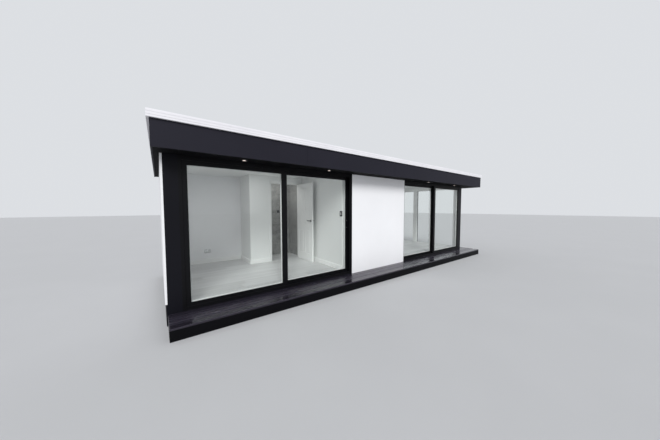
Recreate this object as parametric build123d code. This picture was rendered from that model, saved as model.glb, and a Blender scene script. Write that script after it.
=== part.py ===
from build123d import *
import math
import os

# Garden office pod: a long, low, flat-roofed timber building.
# All sizes are millimetres. While building, x runs along the front from the left wall corner,
# y runs from the front wall face into the building (negative is in front of it), z is height
# above the ground. Each solid is then shifted so that the origin is the middle of the footprint
# of the whole object, at ground level: the front faces -Y and +X runs along the front.

# Heights, from the ground up
bearer_height = 60.0
deck_height = 160.0
floor_build_up = 55.0
door_set_height = 2123.0
header_height = 117.0
floor_height = deck_height + floor_build_up
soffit_height = deck_height + door_set_height
wall_top = soffit_height + header_height

# Walls
wall_length = 8320.0
wall_depth = 2830.0
wall_thickness = 150.0
corner_width = 168.0

# Floor bearers
bearer_width = 100.0
bearer_count = 7

# Deck step along the front and round the right end
deck_depth = 480.0
deck_side_width = 320.0
deck_board_thickness = 25.0
deck_board_gap = 6.0
deck_front_rows = 3
deck_side_rows = 2
deck_board_edge = 3.0
deck_skirt_thickness = 20.0
deck_joist_width = 45.0
deck_joist_spacing = 600.0

# Base skirt on the left and the back
plinth_height = 300.0
plinth_thickness = 15.0

# Roof
roof_overhang_front = 370.0
roof_overhang_left = 108.0
roof_overhang_right = 600.0
roof_overhang_back = 20.0
roof_joist_width = 47.0
roof_joist_height = 180.0
roof_joist_spacing = 600.0
roof_deck_thickness = 85.0
roof_fall = 45.0
membrane_thickness = 5.0
soffit_thickness = 18.0
ceiling_thickness = 15.0
fascia_drop = 5.0
fascia_thickness = 20.0
fascia_joints = (1950.0, 4250.0, 6550.0)
fascia_joint_width = 3.0
trim_rise = 20.0
trim_thickness = 28.0
trim_height = 90.0
trim_lap = 40.0
trim_nose = 8.0
drip_thickness = 6.0
drip_height = 61.0
joist_top = wall_top + roof_joist_height
deck_high_side = joist_top + roof_deck_thickness
deck_low_side = deck_high_side - roof_fall
fascia_bottom = soffit_height - fascia_drop
fascia_top = deck_high_side + membrane_thickness
trim_top = fascia_top + trim_rise

# Rendered panel and cladding on the front, and the render on the left end wall
render_width = 1815.0
render_thickness = 40.0
end_render_thickness = 25.0
cladding_thickness = 16.0

# Downlights in the front soffit
downlight_places = (990.0, 2555.0, 5990.0, 7475.0)
downlight_radius = 42.0
downlight_thickness = 4.0
downlight_lens_radius = 26.0
downlight_lens_depth = 2.0
downlight_setback = 165.0

# Two-track sliding door sets
jamb_width = 45.0
head_height = 60.0
sill_height = 52.0
frame_lip = 8.0
frame_edge = 3.0
leaf_thickness = 48.0
leaf_gap = 21.0
stile_width = 84.0
bottom_rail = 62.0
top_rail = 84.0
jamb_web = 18.0
fixed_leaf_width = 1553.0
meeting_overlap = 35.0
glass_thickness = 24.0
glass_rebate = 12.0
glass_setback = 8.0
bead_bevel = 4.0
slide_clearance = 5.0
jamb_clearance = 6.0
head_clearance = 10.0
head_web = 25.0
track_thickness = 25.0
rail_height = 8.0
rail_width = 8.0
rail_to_leaf = 7.0
wheel_radius = 14.0
wheel_width = 8.0
wheel_inset = 160.0
wheel_play = 0.3
hook_thickness = 3.0
hook_arm = 4.0
hook_lip = 22.0
hook_margin = 8.0
track_floor = deck_height + track_thickness
rail_top = track_floor + rail_height
leaf_bottom = rail_top + rail_to_leaf
leaf_top = soffit_height - head_web - head_clearance
glass_bottom = leaf_bottom + bottom_rail
glass_top = leaf_top - top_rail
set_left = corner_width
set_right = (wall_length - render_width) / 2
set_front = -cladding_thickness
fixed_y = set_front + frame_lip
sliding_y = fixed_y + leaf_thickness + leaf_gap
sliding_left = set_left + jamb_web + fixed_leaf_width - meeting_overlap

# Pull handles on the sliding leaves
handle_height = 1016.0
handle_length = 182.0
handle_width = 30.0
handle_plate = 6.0
handle_reach = 34.0
handle_bar = 12.0
handle_bend = 8.0

# End window
window_pier = 210.0
window_mullion_start = 1610.0
window_mullion_width = 140.0
window_border = 40.0
window_head = 63.0
window_sill = 60.0
window_recess = 45.0
window_step = 16.0
window_glass_setback = 70.0
window_end = wall_depth - wall_thickness - window_pier

# Rooms
partition_thickness = 125.0
partition_to_panel = 122.5
wc_wall_thickness = 75.0
wc_length = 1425.0
wc_depth = 780.0
partition_start = set_right - partition_to_panel
wc_left = partition_start - wc_length
wc_front = wall_depth - wall_thickness - wc_depth

# Door of the small room
leaf_width = 762.0
leaf_height = 1981.0
door_thickness = 35.0
door_floor_gap = 8.0
door_head_gap = 7.0
door_hinge_gap = 5.0
door_strike_gap = 7.0
pivot_to_partition = 107.5
pivot_proud = 7.0
pivot_x = partition_start - pivot_to_partition
lining_thickness = 25.0
door_stop_depth = 12.0
door_stop_width = 12.0
door_stop_gap = 6.0
hinge_length = 100.0
hinge_plate = 2.0
hinge_play = 0.3
hinge_inset = 150.0
stile_border = 105.0
top_border = 110.0
bottom_border = 190.0
lock_border = 130.0
lock_border_height = 800.0
panel_recess = 6.0
panel_bevel = 18.0
lever_height = 1040.0
lever_backset = 60.0
rose_radius = 26.0
rose_thickness = 8.0
neck_radius = 9.0
neck_length = 40.0
lever_length = 118.0
lever_width = 20.0
lever_thickness = 12.0
lever_edge = 3.0

# Small gap between boards that meet end to end
butt_gap = 0.3

# The whole object's extent, from which the origin follows
left_limit = -roof_overhang_left - trim_thickness
right_limit = wall_length + roof_overhang_right + trim_thickness
front_limit = -max(deck_depth, roof_overhang_front + trim_thickness)
back_limit = wall_depth + roof_overhang_back + drip_thickness
origin_x = (left_limit + right_limit) / 2
origin_y = (front_limit + back_limit) / 2

os.makedirs("parts", exist_ok=True)


def block(x0, x1, y0, y1, z0, z1):
    """A box between two corners, given from the left wall corner at ground level."""
    size = Box(x1 - x0, y1 - y0, z1 - z0)
    return Pos((x0 + x1) / 2 - origin_x, (y0 + y1) / 2 - origin_y, (z0 + z1) / 2) * size


def round_bar(x, y, z, radius, length, direction):
    """A round bar centred on a point, along one axis."""
    turn = {"x": Rot(0, 90, 0), "y": Rot(90, 0, 0), "z": Rot(0, 0, 0)}[direction]
    return Pos(x - origin_x, y - origin_y, z) * turn * Cylinder(radius, length)


def along_x(points, x0, x1):
    """An outline of (y, z) points, drawn out along x."""
    corners = [(x0 - origin_x, y - origin_y, z) for y, z in points]
    return extrude(make_face(Polyline(*corners, close=True)), x1 - x0, dir=(1, 0, 0))


def along_y(points, y0, y1):
    """An outline of (x, z) points, drawn out along y."""
    corners = [(x - origin_x, y0 - origin_y, z) for x, z in points]
    return extrude(make_face(Polyline(*corners, close=True)), y1 - y0, dir=(0, 1, 0))


def plan(points, z0, z1):
    """An outline of (x, y) points, drawn up from one height to another."""
    corners = [(x - origin_x, y - origin_y, z0) for x, y in points]
    return extrude(make_face(Polyline(*corners, close=True)), z1 - z0, dir=(0, 0, 1))


def mirrored(solid):
    """The same piece on the other side of the middle of the front."""
    return mirror(solid, Plane.YZ.offset(wall_length / 2 - origin_x))


def save(name, *pieces):
    """Write one named sub-part, as one solid or as several that stand apart."""
    solids = [one for piece in pieces for one in piece.solids()]
    shape = solids[0] if len(solids) == 1 else Compound(solids)
    shape.label = name
    export_step(shape, f"parts/{name}.step")


def spread(first, last, spacing):
    """Evenly spaced positions from first to last, no further apart than spacing."""
    steps = max(1, math.ceil((last - first) / spacing))
    return [first + (last - first) * step / steps for step in range(steps + 1)]


def floor_parts():
    """Bearers on the ground, the floor panel on them and the finished inner floor."""
    last = wall_length - bearer_width
    bearers = [block(left, left + bearer_width, 0, wall_depth, 0, bearer_height)
               for left in spread(0, last, last / (bearer_count - 1))]
    save("floor_bearers", *bearers)
    save("floor_panel", block(0, wall_length, 0, wall_depth, bearer_height, deck_height))
    save("inner_floor", block(wall_thickness, wall_length - wall_thickness, wall_thickness,
                              wall_depth - wall_thickness, deck_height, floor_height))


def deck_board(x0, x1, y0, y1):
    """One deck board with its two long upper edges taken off."""
    low = deck_height - deck_board_thickness
    side = deck_height - deck_board_edge
    edge = deck_board_edge
    if x1 - x0 > y1 - y0:
        return along_x([(y0, low), (y1, low), (y1, side), (y1 - edge, deck_height),
                        (y0 + edge, deck_height), (y0, side)], x0, x1)
    return along_y([(x0, low), (x1, low), (x1, side), (x1 - edge, deck_height),
                    (x0 + edge, deck_height), (x0, side)], y0, y1)


def deck_parts():
    """Joists, boards and skirting of the step in front and at the right end."""
    board_bottom = deck_height - deck_board_thickness
    deck_end = wall_length + deck_side_width
    inner_end = deck_end - deck_skirt_thickness
    inner_front = deck_skirt_thickness - deck_depth
    joists = [block(left, left + deck_joist_width, inner_front, 0, 0, board_bottom)
              for left in spread(deck_skirt_thickness, inner_end - deck_joist_width,
                                 deck_joist_spacing)]
    joists += [block(wall_length, inner_end, front, front + deck_joist_width, 0, board_bottom)
               for front in spread(deck_joist_spacing,
                                   wall_depth - deck_skirt_thickness - deck_joist_width,
                                   deck_joist_spacing)]
    save("deck_joists", *joists)
    boards = []
    front_board = (deck_depth - (deck_front_rows - 1) * deck_board_gap) / deck_front_rows
    for row in range(deck_front_rows):
        near = -deck_depth + row * (front_board + deck_board_gap)
        boards.append(deck_board(0, deck_end, near, near + front_board))
    side_board = (deck_side_width - (deck_side_rows - 1) * deck_board_gap) / deck_side_rows
    for row in range(deck_side_rows):
        left = wall_length + row * (side_board + deck_board_gap)
        boards.append(deck_board(left, left + side_board, deck_board_gap, wall_depth))
    save("deck_boards", *boards)
    behind = inner_front + butt_gap
    save("deck_skirt",
         block(0, deck_end, -deck_depth, inner_front, 0, board_bottom),
         block(inner_end, deck_end, behind, wall_depth, 0, board_bottom),
         block(wall_length, inner_end - butt_gap, wall_depth - deck_skirt_thickness, wall_depth,
               0, board_bottom),
         block(0, deck_skirt_thickness - butt_gap, behind, 0, 0, board_bottom))
    save("plinth_skirts",
         block(-plinth_thickness, 0, 0, wall_depth + plinth_thickness, 0, plinth_height),
         block(butt_gap, wall_length, wall_depth, wall_depth + plinth_thickness, 0, plinth_height))


def wall_parts():
    """Outer walls, split round the glazed openings, and what clads them."""
    back = wall_depth - wall_thickness
    end = wall_length - wall_thickness
    post = block(0, corner_width, 0, wall_thickness, deck_height, soffit_height)
    save("corner_post_left", post)
    save("corner_post_right", mirrored(post))
    save("wall_left", block(0, wall_thickness, wall_thickness, back, deck_height, wall_top))
    save("wall_back", block(0, wall_length, back, wall_depth, deck_height, wall_top))
    save("wall_end_back", block(end, wall_length, window_end, back, deck_height, soffit_height))
    save("wall_end_head", block(end, wall_length, wall_thickness, back, soffit_height, wall_top))
    render_left = (wall_length - render_width) / 2
    render_right = render_left + render_width
    save("wall_front_centre", block(render_left, render_right, 0, wall_thickness,
                                    deck_height, soffit_height))
    save("front_header", block(0, wall_length, 0, wall_thickness, soffit_height, wall_top))
    save("render_panel",
         block(render_left, render_right, -render_thickness, 0, deck_height, soffit_height),
         block(-end_render_thickness, 0, -cladding_thickness, wall_depth,
               plinth_height, soffit_height))
    cladding = block(0, corner_width, -cladding_thickness, 0, deck_height, soffit_height)
    save("corner_cladding", cladding, mirrored(cladding))


def roof_parts():
    """Joists, sloped roof deck and membrane, edge boards, soffits and ceiling."""
    left = -roof_overhang_left
    right = wall_length + roof_overhang_right
    front = -roof_overhang_front
    back = wall_depth + roof_overhang_back
    inner_left = left + fascia_thickness
    inner_right = right - fascia_thickness
    inner_front = front + fascia_thickness
    save("roof_joists", *[
        block(near, near + roof_joist_width, inner_front, wall_depth, wall_top, joist_top)
        for near in spread(inner_left, inner_right - roof_joist_width, roof_joist_spacing)])
    low_top = deck_low_side + membrane_thickness
    save("roof_deck", along_x(
        [(inner_front, joist_top), (wall_depth, joist_top),
         (wall_depth, deck_low_side), (inner_front, deck_high_side)], inner_left, inner_right))
    save("roof_membrane", along_x(
        [(inner_front, deck_high_side), (wall_depth, deck_low_side), (wall_depth, low_top),
         (inner_front, fascia_top)], inner_left, inner_right))
    ends = (left, *fascia_joints, right)
    half = fascia_joint_width / 2
    boards = []
    for start, stop in zip(ends, ends[1:]):
        near = start if start == left else start + half
        far = stop if stop == right else stop - half
        boards.append(block(near, far, front, inner_front, fascia_bottom, fascia_top))
    save("fascia_front", *boards)
    save("fascia_sides",
         block(left, inner_left, inner_front, back, fascia_bottom, fascia_top),
         block(inner_right, right, inner_front, back, fascia_bottom, fascia_top))
    save("fascia_back", block(inner_left, inner_right, wall_depth, back, soffit_height, low_top))
    soffit_top = soffit_height + soffit_thickness
    save("soffit_boards",
         block(inner_left, inner_right, inner_front, 0, soffit_height, soffit_top),
         block(inner_left, 0, butt_gap, wall_depth, soffit_height, soffit_top),
         block(wall_length, inner_right, butt_gap, wall_depth, soffit_height, soffit_top))
    save("ceiling", block(wall_thickness, wall_length - wall_thickness, wall_thickness,
                          wall_depth - wall_thickness, wall_top - ceiling_thickness, wall_top))
    roof_trim(left, right, front, back, low_top)
    downlights()


def trim_outline(edge, inward):
    """The edge trim's section: a deep face and a lap over the roof edge."""
    outer = edge - inward * trim_thickness
    lap = edge + inward * trim_lap
    bottom = trim_top - trim_height
    return [(outer, bottom), (edge, bottom), (edge, fascia_top), (lap, fascia_top),
            (lap, trim_top), (outer, trim_top)]


def round_nose(trim, direction):
    """The trim with its two long upper edges rounded."""
    return fillet(trim.edges().filter_by(direction).group_by(Axis.Z)[-1], trim_nose)


def roof_trim(left, right, front, back, low_top):
    """Pale trim round the roof edge, mitred at the front corners, and a drip strip behind."""
    out = trim_thickness
    reach = trim_lap
    z0 = trim_top - trim_height - 1
    z1 = trim_top + 1
    front_part = round_nose(along_x(trim_outline(front, 1), left - out, right + out), Axis.X)
    front_part &= plan([(left - out, front - out), (right + out, front - out),
                        (right - reach, front + reach), (left + reach, front + reach)], z0, z1)
    stop = back + drip_thickness
    side = round_nose(along_y(trim_outline(left, 1), front - out, stop), Axis.Y)
    side &= plan([(left - out, front - out + butt_gap), (left + reach, front + reach + butt_gap),
                  (left + reach, stop), (left - out, stop)], z0, z1)
    roof_middle = Plane.YZ.offset((left + right) / 2 - origin_x)
    drip_top = low_top + drip_thickness
    drip = block(left + fascia_thickness, right - fascia_thickness, wall_depth, back,
                 low_top, drip_top)
    drip += block(left + butt_gap, right - butt_gap, back, stop, drip_top - drip_height, drip_top)
    save("roof_trim", front_part, side, mirror(side, roof_middle), drip)


def downlights():
    """Flat bezels under the front soffit, each with a dished lens."""
    lights = []
    lens_z = soffit_height - downlight_thickness
    for x in downlight_places:
        bezel = round_bar(x, -downlight_setback, soffit_height - downlight_thickness / 2,
                          downlight_radius, downlight_thickness, "z")
        bezel -= round_bar(x, -downlight_setback, lens_z, downlight_lens_radius,
                           2 * downlight_lens_depth, "z")
        lights.append(bezel)
    save("downlights", *lights)


def door_frame():
    """The outer frame of one door set, with a tight outer track and a free inner track."""
    outer_back = fixed_y + leaf_thickness
    inner_front = sliding_y - slide_clearance
    inner_back = sliding_y + leaf_thickness + slide_clearance
    frame = block(set_left, set_right, set_front, wall_thickness, deck_height, soffit_height)
    frame -= block(set_left + jamb_width, set_right - jamb_width, set_front - 1,
                   wall_thickness + 1, deck_height + sill_height, soffit_height - head_height)
    frame = chamfer(opening_edges(frame), frame_edge)
    top = leaf_top + head_clearance
    frame -= block(set_left + jamb_web, set_right - jamb_web, fixed_y, outer_back,
                   leaf_bottom, top)
    frame -= block(set_left + jamb_web - jamb_clearance, set_right - jamb_web + jamb_clearance,
                   inner_front, inner_back, track_floor, top)
    rail_y = (inner_front + inner_back) / 2
    frame += block(set_left + jamb_web, set_right - jamb_web, rail_y - rail_width / 2,
                   rail_y + rail_width / 2, track_floor, rail_top)
    return frame


def opening_edges(frame):
    """The edges of the opening in a flat frame, on its front and back faces."""
    faces = frame.faces().filter_by(Axis.Y).sort_by(Axis.Y)
    return [edge for face in (faces[0], faces[-1])
            for wire in face.inner_wires() for edge in wire.edges()]


def leaf_glass(glass_x0, glass_x1, y0):
    """The sealed glass unit of one leaf, with its edges in the rebate."""
    front = y0 + glass_setback
    return block(glass_x0 - glass_rebate, glass_x1 + glass_rebate,
                 front, front + glass_thickness,
                 glass_bottom - glass_rebate, glass_top + glass_rebate)


def leaf_frame(x0, x1, y0):
    """Stiles and rails of one leaf, bevelled round the glass, and the rebate that it sits in."""
    glass_x0 = x0 + stile_width
    glass_x1 = x1 - stile_width
    leaf = block(x0, x1, y0, y0 + leaf_thickness, leaf_bottom, leaf_top)
    leaf -= block(glass_x0, glass_x1, y0 - 1, y0 + leaf_thickness + 1, glass_bottom, glass_top)
    leaf = chamfer(opening_edges(leaf), bead_bevel)
    pane = leaf_glass(glass_x0, glass_x1, y0)
    return leaf - pane, pane


def door_set():
    """One pair of leaves: frame, fixed leaf and glass, sliding leaf, glass and handle."""
    fixed_left = set_left + jamb_web
    fixed_right = fixed_left + fixed_leaf_width
    sliding_right = set_right - jamb_web
    fixed, fixed_pane = leaf_frame(fixed_left, fixed_right, fixed_y)
    sliding, sliding_pane = leaf_frame(sliding_left, sliding_right, sliding_y)
    hook_z0 = deck_height + sill_height + hook_margin
    hook_z1 = soffit_height - head_height - hook_margin
    fixed_back = fixed_y + leaf_thickness
    fixed_lip = sliding_y - slide_clearance
    fixed += block(fixed_right - hook_arm, fixed_right, fixed_back, fixed_lip, hook_z0, hook_z1)
    fixed += block(fixed_right - hook_lip, fixed_right, fixed_lip - hook_thickness, fixed_lip,
                   hook_z0, hook_z1)
    lip_front = fixed_back + slide_clearance
    sliding += block(sliding_left, sliding_left + hook_arm, lip_front, sliding_y, hook_z0, hook_z1)
    sliding += block(sliding_left, sliding_left + hook_lip, lip_front, lip_front + hook_thickness,
                     hook_z0, hook_z1)
    middle = sliding_y + leaf_thickness / 2
    for x in (sliding_left + wheel_inset, sliding_right - wheel_inset):
        sliding += round_bar(x, middle, rail_top + wheel_play + wheel_radius,
                             wheel_radius, wheel_width, "y")
    handle_x = (sliding_right - stile_width + set_right - jamb_width) / 2
    return door_frame(), fixed, fixed_pane, sliding, sliding_pane, pull_handles(handle_x)


def pull_handles(x):
    """A plate with round ends and a bow-shaped pull, on each face of the sliding leaf."""
    middle_z = floor_height + handle_height
    foot = handle_length / 2 - handle_width
    reach = handle_reach
    bend = handle_bend
    outline = [(0, foot), (reach - bend, foot), (reach, foot - bend), (reach, bend - foot),
               (reach - bend, -foot), (0, -foot), (0, handle_bar - foot),
               (reach - handle_bar, handle_bar - foot + bend),
               (reach - handle_bar, foot - handle_bar - bend), (0, foot - handle_bar)]
    grips = []
    for face, away in ((sliding_y, -1), (sliding_y + leaf_thickness, 1)):
        bow = along_x([(face + away * y, middle_z + z) for y, z in outline],
                      x - handle_bar / 2, x + handle_bar / 2)
        y0, y1 = sorted((face, face + away * handle_plate))
        straight = (handle_length - handle_width) / 2
        plate = block(x - handle_width / 2, x + handle_width / 2, y0, y1,
                      middle_z - straight, middle_z + straight)
        for z in (middle_z - straight, middle_z + straight):
            plate += round_bar(x, (y0 + y1) / 2, z, handle_width / 2, handle_plate, "y")
        grips.append(plate + bow)
    return grips


def door_parts():
    """Both door sets. The right set is the mirror image of the left one."""
    frame, fixed, fixed_pane, sliding, sliding_pane, handles = door_set()
    save("door_frame_left", frame)
    save("door_frame_right", mirrored(frame))
    save("fixed_leaf_left", fixed)
    save("fixed_leaf_right", mirrored(fixed))
    save("fixed_glass", fixed_pane, mirrored(fixed_pane))
    save("sliding_leaf_left", sliding)
    save("sliding_leaf_right", mirrored(sliding))
    save("sliding_glass_left", sliding_pane)
    save("sliding_glass_right", mirrored(sliding_pane))
    save("handle_left", *handles)
    save("handle_right", *[mirrored(one) for one in handles])


def end_window_parts():
    """The glazed screen in the right end wall: a stepped frame and two fixed panes."""
    x0 = wall_length - wall_thickness
    middle = wall_length - window_glass_setback
    low = deck_height + window_sill
    high = soffit_height - window_head
    frame = block(x0, wall_length, wall_thickness, window_end, deck_height, soffit_height)
    panes = []
    for y0, y1 in ((wall_thickness + window_border, window_mullion_start),
                   (window_mullion_start + window_mullion_width, window_end - window_border)):
        frame -= block(x0 - 1, wall_length + 1, y0, y1, low, high)
        frame -= block(wall_length - window_recess, wall_length + 1, y0 - window_step,
                       y1 + window_step, low - window_step, high + window_step)
        pane = block(middle - glass_thickness / 2, middle + glass_thickness / 2,
                     y0 - glass_rebate, y1 + glass_rebate, low - glass_rebate, high + glass_rebate)
        frame -= pane
        panes.append(pane)
    save("end_window_frame", frame)
    save("end_window_glass", *panes)


def partition_parts():
    """Inner walls: one between the rooms, and the small room at the back of the left room."""
    back = wall_depth - wall_thickness
    top = wall_top - ceiling_thickness
    save("partition_rooms", block(partition_start, partition_start + partition_thickness,
                                  wall_thickness, back, floor_height, top))
    inside = wc_front + wc_wall_thickness
    save("partition_wc_side", block(wc_left, wc_left + wc_wall_thickness, inside, back,
                                    floor_height, top))
    hinge_face = pivot_x + door_hinge_gap / 2
    strike_face = pivot_x - door_hinge_gap / 2 - leaf_width - door_strike_gap
    head_face = floor_height + door_floor_gap + leaf_height + door_head_gap
    gap_left = strike_face - lining_thickness
    gap_right = hinge_face + lining_thickness
    gap_top = head_face + lining_thickness
    save("partition_wc_front",
         block(wc_left, gap_left, wc_front, inside, floor_height, top),
         block(gap_right, partition_start, wc_front, inside, floor_height, top))
    save("partition_wc_head", block(gap_left, gap_right, wc_front, inside, gap_top, top))
    lining = block(gap_left, gap_right, wc_front, inside, floor_height, gap_top)
    stop_y = wc_front + door_thickness + door_stop_gap
    lining -= block(strike_face, hinge_face, wc_front - 1, inside + 1, floor_height - 1, head_face)
    stop = block(strike_face, hinge_face, stop_y, stop_y + door_stop_depth, floor_height, head_face)
    stop -= block(strike_face + door_stop_width, hinge_face - door_stop_width,
                  stop_y - 1, stop_y + door_stop_depth + 1, floor_height - 1,
                  head_face - door_stop_width)
    save("wc_door_lining", lining + stop)


def sunk_panel(x, away, y0, y1, z0, z1):
    """What is cut from one face of the door for one moulded panel, round a raised field."""
    cut = block(*sorted((x, x - away * panel_recess)), y0, y1, z0, z1)
    outline = Plane((x - away * panel_recess - origin_x, (y0 + y1) / 2 - origin_y, (z0 + z1) / 2),
                    x_dir=(0, 1, 0), z_dir=(away, 0, 0))
    width = y1 - y0 - 2 * panel_bevel
    height = z1 - z0 - 2 * panel_bevel
    field = extrude(outline * Rectangle(width, height), panel_recess, taper=45)
    return cut - field


def wc_door_parts():
    """The panelled door of the small room, standing open at a right angle."""
    pivot_y = wc_front - pivot_proud
    near_x = pivot_x - pivot_proud
    far_x = near_x - door_thickness
    hinge_edge = pivot_y - door_hinge_gap / 2
    free_edge = hinge_edge - leaf_width
    z0 = floor_height + door_floor_gap
    z1 = z0 + leaf_height
    leaf = block(far_x, near_x, free_edge, hinge_edge, z0, z1)
    width = (leaf_width - 3 * stile_border) / 2
    rows = ((z0 + bottom_border, z0 + lock_border_height),
            (z0 + lock_border_height + lock_border, z1 - top_border))
    for low, high in rows:
        for y in (free_edge + stile_border, hinge_edge - stile_border - width):
            for x, away in ((far_x, -1), (near_x, 1)):
                leaf -= sunk_panel(x, away, y, y + width, low, high)
    save("wc_door_leaf", leaf)
    knuckle_radius = math.hypot(pivot_proud, door_hinge_gap / 2) - hinge_play
    hinges = []
    for z in (z0 + hinge_inset, (z0 + z1) / 2, z1 - hinge_inset):
        hinge = round_bar(pivot_x, pivot_y, z, knuckle_radius, hinge_length, "z")
        hinge += block(far_x + panel_recess, pivot_x - knuckle_radius / 2, hinge_edge,
                       hinge_edge + hinge_plate, z - hinge_length / 2, z + hinge_length / 2)
        hinges.append(hinge)
    save("wc_door_hinges", *hinges)
    lever_y = free_edge + lever_backset
    lever_z = floor_height + lever_height
    levers = []
    for face, away in ((far_x, -1), (near_x, 1)):
        rose = round_bar(face + away * rose_thickness / 2, lever_y, lever_z,
                         rose_radius, rose_thickness, "x")
        rose += round_bar(face + away * (rose_thickness + neck_length / 2), lever_y, lever_z,
                          neck_radius, neck_length, "x")
        reach = face + away * (rose_thickness + neck_length)
        tip = sorted((reach, reach - away * lever_thickness))
        lever = block(*tip, lever_y - lever_width / 2, lever_y + lever_length,
                      lever_z - lever_width / 2, lever_z + lever_width / 2)
        levers.append(rose + fillet(lever.edges().filter_by(Axis.Y), lever_edge))
    save("wc_door_handle", *levers)


floor_parts()
deck_parts()
wall_parts()
roof_parts()
door_parts()
end_window_parts()
partition_parts()
wc_door_parts()
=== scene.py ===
# %% [markdown]
# # A garden office pod, dressed for its picture
#
# The pod is a long, low, flat-roofed building: black glazed door sets either side of a white panel,
# a deep charcoal roof edge and a black deck step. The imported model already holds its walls, frames,
# glass and roof at their real size. This lesson gives each of them its finish, and adds the small
# pieces that a fitter would add last: boards, skirting, tiles, seals, a socket and the lamp lenses.

# %% Load the frame
import math
import random

import bpy
from mathutils import Matrix, Vector


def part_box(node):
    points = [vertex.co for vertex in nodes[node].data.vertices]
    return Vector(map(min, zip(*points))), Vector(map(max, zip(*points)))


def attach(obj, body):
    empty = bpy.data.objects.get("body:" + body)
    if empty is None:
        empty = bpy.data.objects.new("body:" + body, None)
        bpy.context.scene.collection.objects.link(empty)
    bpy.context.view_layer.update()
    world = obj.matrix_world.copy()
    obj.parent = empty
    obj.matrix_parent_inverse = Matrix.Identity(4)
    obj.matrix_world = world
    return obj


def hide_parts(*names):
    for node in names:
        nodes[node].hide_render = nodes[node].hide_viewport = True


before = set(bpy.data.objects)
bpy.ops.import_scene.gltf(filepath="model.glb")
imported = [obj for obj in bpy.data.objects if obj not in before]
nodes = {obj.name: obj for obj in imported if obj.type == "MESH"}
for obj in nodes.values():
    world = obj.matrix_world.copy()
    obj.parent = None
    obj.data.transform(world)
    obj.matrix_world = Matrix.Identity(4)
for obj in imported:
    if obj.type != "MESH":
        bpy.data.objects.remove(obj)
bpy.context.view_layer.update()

# %% [markdown]
# ## Where things are
#
# A builder measures from the left corner of the wall, from the face of the front wall and from the
# ground. The frame's own boxes say where those are, so every later size is a plain one.

# %% Measure from the left wall corner
left_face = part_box("wall_left")[0].x
front_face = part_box("front_header")[0].y


def at(x, y, z):
    """A point given from the left wall corner, the front wall face and the ground."""
    return Vector((left_face + x, front_face + y, z))


def span(node, axis):
    """Where a node starts and ends along x, y or z, from the same wall corner."""
    low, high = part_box(node)
    shift = {"x": left_face, "y": front_face, "z": 0.0}[axis]
    return getattr(low, axis) - shift, getattr(high, axis) - shift


wall_length = span("wall_back", "x")[1]
wall_inner_back = span("wall_back", "y")[0]
wall_inner_left = span("wall_left", "x")[1]
floor_top = span("inner_floor", "z")[1]
partition_left, partition_right = span("partition_rooms", "x")
print("wall length", round(wall_length, 3), "floor at", round(floor_top, 3))

# %% [markdown]
# ## Camera
#
# The picture was taken with a very wide lens from near the left corner, at eye height and turned
# well to the right. Its place, turn and focal length were worked out from the edges of the building,
# so they are written here as plain measurements. The lens is given for a 36 mm wide frame.

# %% Set the camera
camera_place = at(-0.0522, -3.6913, 1.5768)
camera_lens_mm = 12.54
camera_turn = 36.661
camera_tilt = 3.019
camera_roll = -0.108

camera = bpy.data.objects.new("camera", bpy.data.cameras.new("camera"))
bpy.context.scene.collection.objects.link(camera)
camera.data.sensor_width = 36.0
camera.data.lens = camera_lens_mm
camera.data.clip_end = 300.0
turned = Matrix.Rotation(math.radians(-camera_turn), 4, "Z")
tilted = Matrix.Rotation(math.radians(90 - camera_tilt), 4, "X")
rolled = Matrix.Rotation(math.radians(camera_roll), 4, "Z")
camera.matrix_world = Matrix.Translation(camera_place) @ turned @ tilted @ rolled
bpy.context.scene.camera = camera
print("camera at", [round(v, 3) for v in camera.location])

# %% [markdown]
# ## Node helpers
#
# Every finish here is a small tree: a noise read in the piece's own coordinates, spread over a
# narrow range, which then feeds the colour, the roughness and a bump. These few helpers keep the
# trees short, so that each finish below can be read as a recipe.

# %% Helpers for materials


def new_finish(name):
    """A new material with its tree and its main shader."""
    made = bpy.data.materials.new(name)
    made.use_nodes = True
    return made, made.node_tree, made.node_tree.nodes["Principled BSDF"]


def feed(tree, value, socket):
    """Links another node's output to a socket, or sets the socket to a plain value."""
    if isinstance(value, bpy.types.NodeSocket):
        tree.links.new(value, socket)
    else:
        socket.default_value = value


def wire(tree, made, **sockets):
    """Sets or links a node's inputs by name, with an underscore for each space."""
    for name, value in sockets.items():
        feed(tree, value, made.inputs[name.replace("_", " ")])


def node(tree, kind, settings=None, **sockets):
    """Adds a node, sets its options, and sets or links its inputs by name."""
    made = tree.nodes.new(kind)
    for option, value in (settings or {}).items():
        setattr(made, option, value)
    wire(tree, made, **sockets)
    return made


def coordinates(tree, stretch=(1, 1, 1)):
    """The piece's own coordinates in metres, stretched along each axis."""
    source = tree.nodes.new("ShaderNodeTexCoord")
    return node(tree, "ShaderNodeMapping", Vector=source.outputs["Object"],
                Scale=stretch).outputs["Vector"]


def noise(tree, place, scale, detail=3.0, roughness=0.5):
    """A soft random pattern; a scale of 100 has spots about a centimetre across."""
    return node(tree, "ShaderNodeTexNoise", Vector=place, Scale=scale, Detail=detail,
                Roughness=roughness).outputs["Fac"]


def spread(tree, value, low, high, start=0.3, stop=0.7):
    """Maps the middle of a pattern, from start to stop, onto low to high."""
    return node(tree, "ShaderNodeMapRange", Value=value, From_Min=start, From_Max=stop,
                To_Min=low, To_Max=high).outputs["Result"]


def blend(tree, share, first, second):
    """A colour between two colours."""
    return node(tree, "ShaderNodeMix", {"data_type": "RGBA"}, Factor=share, A=first,
                B=second).outputs["Result"]


def sums(tree, operation, first, second=0.0):
    """One step of arithmetic."""
    made = node(tree, "ShaderNodeMath", {"operation": operation})
    feed(tree, first, made.inputs[0])
    feed(tree, second, made.inputs[1])
    return made.outputs[0]


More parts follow.
